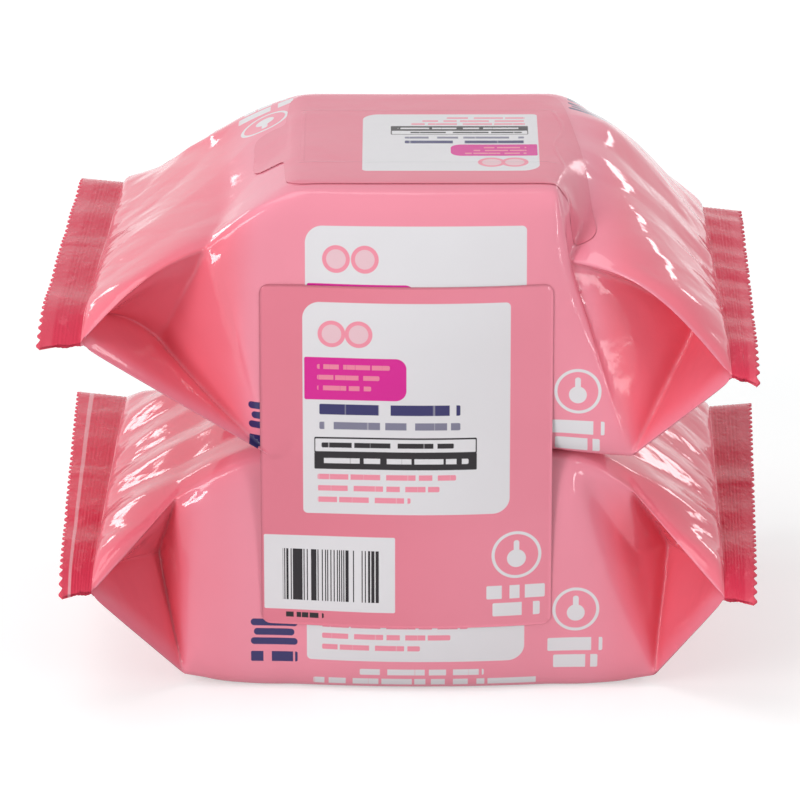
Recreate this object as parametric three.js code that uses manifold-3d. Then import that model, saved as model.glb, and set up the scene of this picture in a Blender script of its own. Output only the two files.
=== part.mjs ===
// Twin pack of wet wipes: two soft flow-wrapped pouches, one on the other, held by one front label.
// Millimetres. X runs along the pouches from end seal to end seal, Y from front (-) to back (+), Z up.
// The origin is the middle of the face that the lower pouch rests on, under its stack of wipes.
import * as THREE from "three";
import { mergeVertices } from "three/addons/utils/BufferGeometryUtils.js";
import Module from "manifold-3d";

const wasm = await Module();
wasm.setup();

// Stack of folded wipes inside each pouch
const STACK_LENGTH = 94;

// Film round the stack
const POUCH_DEPTH = 101;
const LOWER_HEIGHT = 81;
const UPPER_HEIGHT = 88.5;
const EDGE_RADIUS = 6.5;
const CREST_RADIUS = 3;
const WALL_BOW = 6;
const FOOT_BOW = 5;
const BOW_REACH = 13;
const TOP_CROWN = 0.5;
const CROWN_POWER = 3;
const FALL_POWER = 1.6;
const EAR_PUFF = 1.5;
const GATHER_DEPTH = 0.9;
const GATHER_MEAN = 0.7;
const GATHER_RHYTHM = 2.4;
const CLEARANCE = 0.3;
const LABEL_STANDOFF = 0.4;

// Beyond the wipes the front and back walls fold in between the two layers of film, as a gusset.
// Its depth, as a share of what the film has to spare, grows from the crest and ends before the seal.
const TUCK_AT_CREST = 0.25;
const TUCK_GROWTH = 0.3;
const TUCK_END = 0.2;
const TUCK_POWER = 1.12;

// End seals: a flat crimped band with a zigzag cut
const SEAL_HALF_LENGTH = 80;
const CUT_HALF_LENGTH = 85;
const SEAL_THICKNESS = 1;
const CRIMP_COUNT = 5;
const CRIMP_HEIGHT = 0.7;
const CRIMPED_SHARE = 0.66;
const TOOTH_PITCH = 3.8;
const TOOTH_DEPTH = 1.2;
const SPARE_TEETH = 2;
const CUT_OVERLAP = 0.25;
const SEAL_ARCH = 6;
const ARCH_POWER = 10;

// Lengthwise seam pressed flat into the underside
const SEAM_EDGE = 6;
const SEAM_GROOVE = 0.6;

// Labels
const LABEL_THICKNESS = 0.3;
const SLOPE_ALLOWANCE = 1.6;
const RESEAL = { left: -43, rightFront: 56, rightBack: 45, front: -45, back: 43, corner: 7 };
const TAB = { reach: 11, half: 18, corner: 7 };
const BUNDLE = { left: -51.5, right: 41.5, bottom: 24, top: 140, corner: 3 };

// Where each end of a pouch folds. reach is measured outward from the end of the wipes, drop down from
// the pouch's top, lift up from its bottom, out forward or back from its side, rise from mid height.
const LOWER_LEFT = {
  shoulder: -4,
  crestMiddle: { reach: 25, drop: 10.5 },
  crestFront: { reach: 32, drop: 15.5, out: 0 },
  crestBack: { reach: 30, drop: 15.5, out: 0 },
  footMiddle: { reach: 26, lift: 1 },
  footFront: { reach: 30, lift: 4.5, out: 1 },
  footBack: { reach: 30, lift: 4.5, out: 1 },
  sealBack: { reach: 52.5, rise: 8.5 },
  sealFront: { reach: 58, rise: 3.5 },
  cutBack: { reach: 69, rise: 8.5 },
  cutFront: { reach: 67.5, rise: 4.5 },
};
const LOWER_RIGHT = {
  shoulder: -4,
  crestMiddle: { reach: 17, drop: 7.5 },
  crestFront: { reach: 20, drop: 12.5, out: 0 },
  crestBack: { reach: 20, drop: 12.5, out: 0 },
  footMiddle: { reach: 25, lift: 1 },
  footFront: { reach: 28.5, lift: 4, out: 1 },
  footBack: { reach: 28.5, lift: 4, out: 1 },
  sealBack: { reach: 51, rise: 4.5 },
  sealFront: { reach: 49, rise: 2 },
  cutBack: { reach: 65, rise: 4 },
  cutFront: { reach: 58.5, rise: 2.5 },
};
const UPPER_LEFT = {
  shoulder: -12,
  crestMiddle: { reach: 15, drop: 15 },
  crestFront: { reach: 21.5, drop: 19.5, out: 1.5 },
  crestBack: { reach: 22, drop: 21.5, out: 0 },
  footMiddle: { reach: 2, lift: 0.5 },
  footFront: { reach: 1, lift: 0.5, out: 7 },
  footBack: { reach: 1, lift: 0.5, out: 5 },
  sealBack: { reach: 51.5, rise: -0.5 },
  sealFront: { reach: 60, rise: 2.5 },
  cutBack: { reach: 65.5, rise: -0.5 },
  cutFront: { reach: 73, rise: 3.5 },
};
const UPPER_RIGHT = {
  shoulder: -5,
  crestMiddle: { reach: 11, drop: 8 },
  crestFront: { reach: -1, drop: 24.5, out: -0.5 },
  crestBack: { reach: 11, drop: 10.5, out: 0 },
  footMiddle: { reach: 16, lift: 0.5 },
  footFront: { reach: 20, lift: 0.5, out: 7 },
  footBack: { reach: 18, lift: 0.5, out: 5 },
  sealBack: { reach: 47, rise: -9 },
  sealFront: { reach: 50, rise: -9 },
  cutBack: { reach: 60, rise: -12 },
  cutFront: { reach: 58, rise: -9.5 },
};

// Fineness of the surface
const ARC_STEPS = 3;
const LABEL_COLUMNS = 20;
const LABEL_ROWS = 24;
const TOP_STEPS = 18;
const UNDER_STEPS = 10;
const WALL_STEPS = 6;
const CORNER_STEPS = 2;
const MIDDLE_RINGS = 4;
const FALL_RINGS = 4;
const EAR_RINGS = 7;

const lowerBase = 0;
const upperBase = LOWER_HEIGHT + 2 * CLEARANCE + LABEL_THICKNESS;
const stackEnd = STACK_LENGTH / 2;
const sideY = POUCH_DEPTH / 2;

// The depth found where a line of sight passes between the pouches
const NOTHING = -Infinity;

const mix = (a, b, t) => a + (b - a) * t;
const point = (x, y, z) => new THREE.Vector3(x, y, z);
const RAILS = ["frontTop", "middleTop", "backTop", "backFoot", "middleFoot", "frontFoot"];

// A ring round the pouch is held by six points, its four edges and the middles of its top and bottom.
// power says how square the top is across, bow how far the front and back walls bulge.
function boxRing(x, height) {
  const fullness = Math.max(0, 1 - (x / (stackEnd + BOW_REACH)) ** 2);
  const footY = sideY + FOOT_BOW * fullness;
  return {
    frontTop: point(x, -sideY, height - TOP_CROWN),
    middleTop: point(x, 0, height),
    backTop: point(x, sideY, height - TOP_CROWN),
    backFoot: point(x, footY, 0),
    middleFoot: point(x, 0, 0),
    frontFoot: point(x, -footY, 0),
    radius: EDGE_RADIUS, bow: WALL_BOW * fullness, power: CROWN_POWER, gather: 0, tuck: 0,
    girth: 2 * (POUCH_DEPTH + height),
  };
}

// side is -1 on the left end and 1 on the right end
function crestRing(end, side, height) {
  const at = (spot, y, z) => point(side * (stackEnd + spot.reach), y, z);
  return {
    frontTop: at(end.crestFront, -sideY - end.crestFront.out, height - end.crestFront.drop),
    middleTop: at(end.crestMiddle, 0, height - end.crestMiddle.drop),
    backTop: at(end.crestBack, sideY + end.crestBack.out, height - end.crestBack.drop),
    backFoot: at(end.footBack, sideY + end.footBack.out, end.footBack.lift),
    middleFoot: at(end.footMiddle, 0, end.footMiddle.lift),
    frontFoot: at(end.footFront, -sideY - end.footFront.out, end.footFront.lift),
    radius: CREST_RADIUS, bow: 0, power: CROWN_POWER, gather: 0, tuck: TUCK_AT_CREST,
    girth: 2 * (POUCH_DEPTH + height),
  };
}

// across runs from 0 on the inner line of the end seal to 1 on its cut edge
function sealRing(end, side, height, across) {
  const half = mix(SEAL_HALF_LENGTH, CUT_HALF_LENGTH, across);
  const spot = (inner, cut, y, layer) => {
    const reach = mix(inner.reach, cut.reach, across);
    const z = height / 2 + mix(inner.rise, cut.rise, across) + crimp(across) + layer * SEAL_THICKNESS / 2;
    return point(side * (stackEnd + reach), y, z);
  };
  const middle = (front, back) => front.clone().lerp(back, 0.5).add(point(0, 0, SEAL_ARCH));
  const frontTop = spot(end.sealFront, end.cutFront, -half, 1);
  const backTop = spot(end.sealBack, end.cutBack, half, 1);
  const backFoot = spot(end.sealBack, end.cutBack, half, -1);
  const frontFoot = spot(end.sealFront, end.cutFront, -half, -1);
  return {
    frontTop, middleTop: middle(frontTop, backTop), backTop,
    backFoot, middleFoot: middle(frontFoot, backFoot), frontFoot,
    radius: SEAL_THICKNESS / 3, bow: 0, power: ARCH_POWER, gather: 0, tuck: 0,
    girth: 2 * (POUCH_DEPTH + height),
  };
}

function crimp(across) {
  const along = across / CRIMPED_SHARE;
  return along < 1 ? (CRIMP_HEIGHT / 2) * Math.sin(along * CRIMP_COUNT * 2 * Math.PI) : 0;
}

function blend(from, to, t, heightShare) {
  const ring = {};
  for (const rail of RAILS) {
    const z = mix(from[rail].z, to[rail].z, heightShare);
    ring[rail] = point(mix(from[rail].x, to[rail].x, t), mix(from[rail].y, to[rail].y, t), z);
  }
  for (const key of ["radius", "bow", "power", "gather", "tuck", "girth"]) {
    ring[key] = mix(from[key], to[key], t);
  }
  return ring;
}

// All rings of one end, from the shoulder outward past the cut edge
function endRings(end, side, height) {
  const shoulder = boxRing(side * (stackEnd + end.shoulder), height);
  const crest = crestRing(end, side, height);
  const sealLine = sealRing(end, side, height, 0);
  const rings = [shoulder];
  for (let i = 1; i <= FALL_RINGS; i += 1) {
    const t = i / FALL_RINGS;
    rings.push(blend(shoulder, crest, t, t ** FALL_POWER));
  }
  for (let i = 1; i < EAR_RINGS; i += 1) {
    const t = i / EAR_RINGS;
    const ring = blend(crest, sealLine, t, t);
    ring.middleTop.z += EAR_PUFF * Math.sin(Math.PI * t);
    ring.middleFoot.z -= EAR_PUFF * Math.sin(Math.PI * t);
    ring.radius = mix(CREST_RADIUS, SEAL_THICKNESS / 3, Math.sqrt(t));
    ring.gather = GATHER_DEPTH * Math.sin(Math.PI * t * t);
    ring.tuck = mix(TUCK_AT_CREST, 1, Math.min(1, t / TUCK_GROWTH)) * Math.min(1, (1 - t) / TUCK_END);
    rings.push(ring);
  }
  rings.push(sealLine);
  const crimpRings = CRIMP_COUNT * 2;
  for (let i = 0; i < crimpRings; i += 1) {
    rings.push(sealRing(end, side, height, (CRIMPED_SHARE * (i + 0.5)) / crimpRings));
  }
  rings.push(sealRing(end, side, height, CRIMPED_SHARE));
  rings.push(sealRing(end, side, height, 1 + CUT_OVERLAP));
  return rings;
}

function bezier(from, control, to, t) {
  return from.clone().lerp(control, t).lerp(control.clone().lerp(to, t), t);
}

// Even shares of the way along one side of a ring, stopping short of its edges by the rounding
function evenShares(from, to, radius, steps) {
  const trim = Math.min(radius / from.distanceTo(to), 0.3);
  return Array.from({ length: steps + 1 }, (_, i) => mix(trim, 1 - trim, i / steps));
}

// How far the film stands off the straight line from edge to edge, at a share of the way across
function crownAt(ring, from, middle, to, share) {
  const rise = middle.clone().sub(from.clone().lerp(to, 0.5));
  rise.y = 0;
  return rise.multiplyScalar(1 - Math.abs(2 * share - 1) ** ring.power);
}

function crownRun(ring, from, middle, to, shares, outward) {
  return shares.map((s, i) => {
    const spot = from.clone().lerp(to, s).add(crownAt(ring, from, middle, to, s));
    const uneven = GATHER_MEAN + (1 - GATHER_MEAN) * Math.sin(i * GATHER_RHYTHM);
    if (i > 0 && i < shares.length - 1) spot.z += outward * ring.gather * uneven * (i % 2 === 0 ? 1 : -1);
    return spot;
  });
}

// How deep a wall folds in where it has more film than the height it spans
function tuckDepth(ring, top, foot) {
  const spans = ring.frontTop.distanceTo(ring.backTop) + ring.frontFoot.distanceTo(ring.backFoot);
  const height = top.distanceTo(foot);
  const film = Math.max(height, (ring.girth - spans) / 2);
  return ring.tuck * Math.sqrt((film / 2) ** 2 - (height / 2) ** 2);
}

// A wall from its top edge to its foot: bulged over the wipes, folded in beyond them
function wallRun(ring, outward) {
  const { frontTop, middleTop, backTop, frontFoot, middleFoot, backFoot } = ring;
  const [top, foot] = outward > 0 ? [backTop, backFoot] : [frontTop, frontFoot];
  const depth = tuckDepth(ring, top, foot);
  return evenShares(top, foot, ring.radius, WALL_STEPS).map((s) => {
    const inward = depth * (1 - Math.abs(2 * s - 1) ** TUCK_POWER);
    const over = crownAt(ring, frontTop, middleTop, backTop, inward / frontTop.distanceTo(backTop));
    const under = crownAt(ring, frontFoot, middleFoot, backFoot, inward / frontFoot.distanceTo(backFoot));
    const spot = top.clone().lerp(foot, s).add(over.lerp(under, s));
    spot.y += outward * (ring.bow * 4 * s * (1 - s) - inward);
    return spot;
  });
}

// The seam lies flush in the underside, beside a narrow groove at its folded edge
function underRun(ring) {
  const { frontFoot, backFoot } = ring;
  const even = evenShares(frontFoot, backFoot, ring.radius, UNDER_STEPS);
  const share = (y) => (y - frontFoot.y) / (backFoot.y - frontFoot.y);
  const half = UNDER_STEPS / 2;
  const groove = [-SEAM_GROOVE, 0, SEAM_GROOVE].map((offset) => share(SEAM_EDGE + offset));
  const shares = [...even.slice(0, half + 1), ...groove, ...even.slice(half + 2)];
  const run = crownRun(ring, frontFoot, ring.middleFoot, backFoot, shares, -1);
  run[half + 2].z += Math.min(SEAM_GROOVE, SEAL_THICKNESS / 2);
  return run;
}

// The closed outline of a ring, seen from the right: up over the front, across the top and back below
function outline(ring) {
  const topShares = evenShares(ring.frontTop, ring.backTop, ring.radius, TOP_STEPS);
  const runs = [
    crownRun(ring, ring.frontTop, ring.middleTop, ring.backTop, topShares, 1),
    wallRun(ring, 1),
    underRun(ring).reverse(),
    wallRun(ring, -1).reverse(),
  ];
  const edges = [ring.backTop, ring.backFoot, ring.frontFoot, ring.frontTop];
  const points = [];
  runs.forEach((run, i) => {
    points.push(...run);
    const next = runs[(i + 1) % runs.length];
    for (let k = 1; k < CORNER_STEPS; k += 1) {
      points.push(bezier(run.at(-1), edges[i], next[0], k / CORNER_STEPS));
    }
  });
  return points;
}

// A closed skin through rings of points that all have the same count, capped at its first and last ring
function loft(rings) {
  const count = rings[0].length;
  const positions = rings.flat().flatMap((spot) => [spot.x, spot.y, spot.z]);
  const index = [];
  for (let ring = 0; ring < rings.length - 1; ring += 1) {
    for (let i = 0; i < count; i += 1) {
      const next = (i + 1) % count;
      const [a, b] = [ring * count + i, ring * count + next];
      const [c, d] = [a + count, b + count];
      index.push(a, c, b, b, c, d);
    }
  }
  const flat = (ring) => ring.map((spot) => new THREE.Vector2(spot.y, spot.z));
  const last = (rings.length - 1) * count;
  for (const [i, j, k] of THREE.ShapeUtils.triangulateShape(flat(rings[0]), [])) index.push(k, j, i);
  for (const [i, j, k] of THREE.ShapeUtils.triangulateShape(flat(rings.at(-1)), [])) {
    index.push(last + i, last + j, last + k);
  }
  const geometry = new THREE.BufferGeometry();
  geometry.setAttribute("position", new THREE.Float32BufferAttribute(positions, 3));
  geometry.setIndex(index);
  return geometry;
}

function toSolid(geometry) {
  const bare = geometry.clone();
  bare.deleteAttribute("normal");
  bare.deleteAttribute("uv");
  const merged = mergeVertices(bare);
  const vertProperties = new Float32Array(merged.attributes.position.array);
  const triVerts = new Uint32Array(merged.index.array);
  return new wasm.Manifold(new wasm.Mesh({ numProp: 3, vertProperties, triVerts }));
}

function toGeometry(solid) {
  const mesh = solid.getMesh();
  const geometry = new THREE.BufferGeometry();
  geometry.setAttribute("position", new THREE.BufferAttribute(mesh.vertProperties, 3));
  geometry.setIndex(new THREE.BufferAttribute(mesh.triVerts, 1));
  geometry.computeVertexNormals();
  return geometry;
}

// What the zigzag knife takes off one end: a thick plate with a toothed edge along the cut line
function knife(end, side, height) {
  const back = sealRing(end, side, height, 1).backTop;
  const front = sealRing(end, side, height, 1).frontTop;
  const run = new THREE.Vector2(front.x - back.x, front.y - back.y);
  const teeth = Math.round(run.length() / TOOTH_PITCH);
  const spots = [];
  for (let i = -2 * SPARE_TEETH; i <= 2 * (teeth + SPARE_TEETH); i += 1) {
    const share = i / (2 * teeth);
    const bite = i % 2 === 0 ? 0 : -TOOTH_DEPTH;
    spots.push(new THREE.Vector2(mix(back.x, front.x, share) + side * bite, mix(back.y, front.y, share)));
  }
  const beyond = side * (Math.max(Math.abs(back.x), Math.abs(front.x)) + CUT_HALF_LENGTH);
  spots.push(new THREE.Vector2(beyond, spots.at(-1).y), new THREE.Vector2(beyond, spots[0].y));
  const plate = new THREE.ExtrudeGeometry(new THREE.Shape(spots), { depth: 3 * height, bevelEnabled: false });
  plate.translate(0, 0, -height);
  return toSolid(plate);
}

function pouchRings(left, right, height) {
  const leftShoulder = -stackEnd - left.shoulder;
  const rightShoulder = stackEnd + right.shoulder;
  const middle = [];
  for (let i = 1; i < MIDDLE_RINGS; i += 1) {
    middle.push(boxRing(mix(leftShoulder, rightShoulder, i / MIDDLE_RINGS), height));
  }
  return [...endRings(left, -1, height).reverse(), ...middle, ...endRings(right, 1, height)];
}

function pouch(left, right, height, base) {
  const skin = loft(pouchRings(left, right, height).map(outline));
  const cut = toSolid(skin)
    .subtract(knife(left, -1, height))
    .subtract(knife(right, 1, height));
  return toGeometry(cut.translate([0, 0, base]));
}

// A polygon whose corners are rounded off
function roundedShape(corners, radius) {
  const spots = corners.map(([x, y]) => new THREE.Vector2(x, y));
  const shape = new THREE.Shape();
  spots.forEach((spot, i) => {
    const toward = (other) => other.clone().sub(spot).normalize().multiplyScalar(radius).add(spot);
    const before = toward(spots.at(i - 1));
    const after = toward(spots[(i + 1) % spots.length]);
    if (i === 0) shape.moveTo(before.x, before.y);
    else shape.lineTo(before.x, before.y);
    shape.quadraticCurveTo(spot.x, spot.y, after.x, after.y);
  });
  return shape;
}

function prism(shape, depth) {
  return new THREE.ExtrudeGeometry(shape, { depth, bevelEnabled: false, curveSegments: ARC_STEPS });
}

// A thin slab between two offsets of the same rows of points
function slab(rows, offset, from, to) {
  const shifted = (row, by) => row.map((spot) => spot.clone().addScaledVector(offset, by));
  return loft(rows.map((row) => [...shifted(row, to), ...shifted(row, from).reverse()]));
}

// The reseal label lies on the film round the die-cut opening, with its pull tab to the left
function resealLabel(left, right, height, base, clearance) {
  const { rightFront, rightBack, front, back, corner } = RESEAL;
  const outer = stackEnd + TAB.reach + corner;
  const rows = pouchRings(left, right, height)
    .filter((ring) => Math.abs(ring.middleTop.x) < outer + corner)
    .map((ring) => outline(ring).slice(0, TOP_STEPS + 1));
  const body = [[RESEAL.left, front], [rightFront, front], [rightBack, back], [RESEAL.left, back]];
  const tab = [[RESEAL.left - TAB.reach, -TAB.half], [0, -TAB.half], [0, TAB.half],
    [RESEAL.left - TAB.reach, TAB.half]];
  const cutter = toSolid(prism(roundedShape(body, corner), 2 * height))
    .add(toSolid(prism(roundedShape(tab, TAB.corner), 2 * height)));
  const sheet = toSolid(slab(rows, point(0, 0, 1), clearance, clearance + LABEL_THICKNESS));
  return toGeometry(sheet.intersect(cutter).translate([0, 0, base]));
}

// Pulls a row of depths tight, so that it only touches its farthest forward points and bridges every gap
function taut(places, depths) {
  const hull = [];
  depths.forEach((depth, i) => {
    if (depth === NOTHING) return;
    const bends = (a, b) => (depths[b] - depths[a]) * (places[i] - places[b])
      <= (depth - depths[b]) * (places[b] - places[a]);
    while (hull.length > 1 && bends(hull.at(-2), hull.at(-1))) hull.pop();
    hull.push(i);
  });
  return places.map((place, i) => {
    const after = Math.max(1, hull.findIndex((spot) => spot >= i));
    const [a, b] = [hull[after - 1], hull[after]];
    return mix(depths[a], depths[b], (place - places[a]) / (places[b] - places[a]));
  });
}

// The front label is stretched over both pouches and bridges the groove between them
function bundleLabel(pouches) {
  const { left, right, bottom, top, corner } = BUNDLE;
  const spread = (from, to, steps) => Array.from({ length: steps + 1 }, (_, i) => mix(from, to, i / steps));
  const columns = spread(left - 1, right + 1, LABEL_COLUMNS);
  const rows = spread(bottom - 1, top + 1, LABEL_ROWS);
  const ray = new THREE.Raycaster();
  const reach = (x, z) => {
    ray.set(point(x, -POUCH_DEPTH, z), point(0, 1, 0));
    return Math.max(NOTHING, ...ray.intersectObjects(pouches).map((hit) => -hit.point.y));
  };
  const upright = columns.map((x) => taut(rows, rows.map((z) => reach(x, z))));
  const level = rows.map((_, row) => taut(columns, upright.map((depths) => depths[row])));
  const lines = columns.map((x, i) => rows.map((z, j) => point(x, -level[j][i], z)));
  const sheet = slab(lines, point(0, -1, 0), LABEL_STANDOFF, LABEL_STANDOFF + LABEL_THICKNESS);
  const cutter = prism(roundedShape([[left, bottom], [right, bottom], [right, top], [left, top]], corner),
    POUCH_DEPTH).rotateX(Math.PI / 2);
  return toGeometry(toSolid(sheet).intersect(toSolid(cutter)));
}

const film = new THREE.MeshStandardMaterial({ color: 0xe8899d, roughness: 0.25, metalness: 0 });
const clearLabel = new THREE.MeshStandardMaterial({ color: 0xde7f93, roughness: 0.3, metalness: 0 });

function add(name, geometry, material) {
  const mesh = new THREE.Mesh(geometry, material);
  mesh.name = name;
  group.add(mesh);
  return mesh;
}

const group = new THREE.Group();
const pouches = [
  add("lower_pouch", pouch(LOWER_LEFT, LOWER_RIGHT, LOWER_HEIGHT, lowerBase), film),
  add("upper_pouch", pouch(UPPER_LEFT, UPPER_RIGHT, UPPER_HEIGHT, upperBase), film),
];
add("lower_reseal_label",
  resealLabel(LOWER_LEFT, LOWER_RIGHT, LOWER_HEIGHT, lowerBase, CLEARANCE), clearLabel);
add("upper_reseal_label",
  resealLabel(UPPER_LEFT, UPPER_RIGHT, UPPER_HEIGHT, upperBase, CLEARANCE * SLOPE_ALLOWANCE), clearLabel);
add("bundle_label", bundleLabel(pouches), clearLabel);

export default group;
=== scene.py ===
# A twin pack of wet wipes: two soft flow-wrapped pouches, stacked and held by one clear front label.
# Lengths in the film's own code are millimetres; a mesh is turned into metres when it is made.
import math

import bpy
import numpy as np
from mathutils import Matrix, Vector
from mathutils.bvhtree import BVHTree


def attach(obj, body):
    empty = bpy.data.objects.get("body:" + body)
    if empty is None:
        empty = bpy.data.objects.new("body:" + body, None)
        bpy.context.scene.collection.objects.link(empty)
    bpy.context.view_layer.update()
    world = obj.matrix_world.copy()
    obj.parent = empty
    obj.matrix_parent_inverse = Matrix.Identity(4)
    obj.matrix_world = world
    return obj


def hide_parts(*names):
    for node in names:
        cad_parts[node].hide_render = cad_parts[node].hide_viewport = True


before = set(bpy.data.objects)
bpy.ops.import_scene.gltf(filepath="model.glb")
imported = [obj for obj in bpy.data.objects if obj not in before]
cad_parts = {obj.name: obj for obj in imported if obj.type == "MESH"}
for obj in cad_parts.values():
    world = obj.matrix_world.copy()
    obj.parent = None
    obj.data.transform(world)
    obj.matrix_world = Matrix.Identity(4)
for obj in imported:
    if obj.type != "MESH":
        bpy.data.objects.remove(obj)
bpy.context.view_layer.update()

MM = 0.001

# The pouches: their heights, where they start, how far the film may rise over its height, the seed of
# their wrinkles, and how far up the front's print is moved
LOWER_HEIGHT, UPPER_HEIGHT = 81.0, 88.5
LOWER_BASE, UPPER_BASE = 0.0, 81.9
LOWER_CEILING, UPPER_CEILING = 0.0, 0.6
LOWER_SEED, UPPER_SEED = 11, 23
LOWER_LIFT, UPPER_LIFT = 0.0, -6.5

# Folded wipes and the film round them
STACK_END = 47.0
SIDE_Y = 50.5
EDGE_RADIUS = 6.5
CREST_RADIUS = 1.1
WALL_BOW = 6.0
FOOT_BOW = 5.0
BOW_REACH = 13.0
TOP_CROWN = 0.5
CROWN_POWER = 3.0
FALL_POWER = 1.6
EAR_PUFF = 1.5

# The side walls fold in between an end seal and the wipes
FOLD_RINGS = 10
TUCK_SWELL = 4.0
TUCK_POWER = 1.08
BACK_LEAN = 7.0
FOLD_REACH = 1.6

# Labels
LABEL_THICKNESS = 0.12
LABEL_GAP = 0.3
LABEL_CLING = 0.25
RESEAL_CORNERS = [
    (-43, -45, 7), (56, -45, 7), (45, 43, 7), (-43, 43, 7),
    (-44.2, 18, 2), (-54, 18, 7), (-54, -18, 7), (-44.2, -18, 2),
]
RESEAL_ROWS = 90
TAB_COLUMNS, ROOT_COLUMNS, RESEAL_COLUMNS = 22, 14, 96
RAY_ABOVE, RAY_BEFORE = 150, 200
BUNDLE_SLACK = 2.0
TAB_ROOT_LEFT, TAB_ROOT_RIGHT = -45.0, -42.0
BUNDLE_LEFT, BUNDLE_RIGHT, BUNDLE_BOTTOM, BUNDLE_TOP, BUNDLE_CORNER = -51.5, 41.5, 24.0, 140.0, 3.0
BUNDLE_COLUMNS, BUNDLE_ROWS = 94, 117

# End seals
SEAL_HALF = 80.0
CUT_HALF = 85.0
SEAL_THICKNESS = 0.7
SEAL_ARCH = 6.0
ARCH_POWER = 10.0
CRIMPED_SHARE = 0.66
CRIMP_COUNT = 6
CRIMP_HEIGHT = 0.16
TOOTH_DEPTH = 1.3
TOOTH = (0.0, 1.0, 0.35)
SEAM_MIDDLE = 3.0
SEAM_HALF = 5.0
SEAM_EDGE = 1.2
SEAM_STEP = 0.45

# Where each end folds, nearly as in the solids: reach outward from the wipes' end, then a drop from
# the top, a lift from the bottom or a rise from mid height, and how far out of the side it lies.
# The side wall's fold: where it starts on the way to the crest, how much of it is there at the crest,
# how far its deepest point leans outward and lies in, and how far down the wall that point is.
# The front ridge between crest and seal rises off its straight line by the ridge lift.
LOWER_LEFT = {
    "side": -1, "shoulder": -4, "fold": (0.7, 0.15, 10, 13, 0.40), "ridge_lift": 0,
    "crest_middle": (25, 10.5), "crest_front": (32, 15.5, 0), "crest_back": (30, 15.5, 0),
    "foot_middle": (26, 1), "foot_front": (30, 4.5, 1), "foot_back": (30, 4.5, 1),
    "seal_back": (52.5, 8.5), "seal_front": (58, 3.5), "cut_back": (69, 8.5), "cut_front": (67.5, 4.5),
}
LOWER_RIGHT = {
    "side": 1, "shoulder": -4, "fold": (0.2, 0.55, 12, 18, 0.42), "ridge_lift": 0,
    "crest_middle": (17, 7.5), "crest_front": (20, 12.5, 0), "crest_back": (20, 12.5, 0),
    "foot_middle": (25, 1), "foot_front": (28.5, 4, 1), "foot_back": (28.5, 4, 1),
    "seal_back": (51, 4.5), "seal_front": (49, 2), "cut_back": (65, 4), "cut_front": (58.5, 2.5),
}
UPPER_LEFT = {
    "side": -1, "shoulder": -12, "fold": (0.8, 0.10, 28, 14, 0.52), "ridge_lift": 5,
    "crest_middle": (15, 15), "crest_front": (21.5, 19.5, 1.5), "crest_back": (24, 17, 0),
    "foot_middle": (2, 0.5), "foot_front": (1, 0.5, 7), "foot_back": (1, 0.5, 5),
    "seal_back": (51.5, -0.5), "seal_front": (60, 2.5), "cut_back": (65.5, -0.5), "cut_front": (73, 3.5),
}
UPPER_RIGHT = {
    "side": 1, "shoulder": -5, "fold": (0.92, 0.10, 32, 15, 0.42), "ridge_lift": 9,
    "crest_middle": (11, 8), "crest_front": (-1, 24.5, -0.5), "crest_back": (11, 10.5, 0),
    "foot_middle": (16, 0.5), "foot_front": (20, 0.5, 7), "foot_back": (18, 0.5, 5),
    "seal_back": (47, -9), "seal_front": (50, -9), "cut_back": (60, -12), "cut_front": (58, -9.5),
}

# Fineness of the film's grid
FACE_CELLS = 124
HALF_WALL_CELLS = 30
FILM_CELL = 1.2
FALL_RINGS = 26
EAR_RINGS = 22
MIDDLE_RINGS = 16
SEAL_ROWS = 26
CORNER_STEPS = 9
WALL_STEPS = 21
CROWN_STEPS = 80

# Settling: the film's grid gets finer from level to level, and is relaxed step by step at each
SETTLE_LEVELS = (4, 2, 1)
SETTLE_STEPS = 160
PULL_BACK = {4: 0.02, 2: 0.008, 1: 0.002}
FOLD_HOLD = 0.2
CREASE_LIMIT = 0.1
STIFFNESS = 0.06
PRESSURE = 0.004
FILM_GAP = 0.25
WIPES_ROUNDING = 9.0
CRUMPLE_FOLDS = 4
FACET_DEPTH = 0.4
SIDE_EASE = 0.2

# Film to spare, as a share of its length, and how far from a seal most of it lies
LEAST_SPARE = 0.001
SEAL_SPARE = 0.022
ROUND_SPARE = 0.004
ALONG_SPARE = 0.010
SPARE_REACH = 14.0

# Camera, fitted to the photo
CAMERA_AIM = (-7, 0, 83)
CAMERA_ELEVATION = 20.9
CAMERA_DISTANCE = 2129
CAMERA_LENS = 293.3
CAMERA_SHIFT = -0.0114


def mix(a, b, t):
    return a + (b - a) * t


# The film's drawn form: rings round the pouch, each held by its four edges and two middles

def girth_of(height):
    return 2 * (2 * SIDE_Y + height)


def shape_of(radius, bow=0.0, power=CROWN_POWER, depth=0.0, extent=1.0, lean=0.0, deep=0.5):
    """How a ring's edges are rounded and its side walls bulge or fold in."""
    return np.array((radius, bow, power, depth, extent, lean, deep))


def box_ring(x, height):
    """A ring over the wipes: a box with rounded edges, and walls and feet that bulge."""
    fullness = max(0.0, 1 - (x / (STACK_END + BOW_REACH)) ** 2)
    foot_y = SIDE_Y + FOOT_BOW * fullness
    rails = np.array([
        (x, -SIDE_Y, height - TOP_CROWN), (x, 0, height), (x, SIDE_Y, height - TOP_CROWN),
        (x, foot_y, 0), (x, 0, 0), (x, -foot_y, 0),
    ], dtype=float)
    return rails, shape_of(EDGE_RADIUS, WALL_BOW * fullness)


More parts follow.
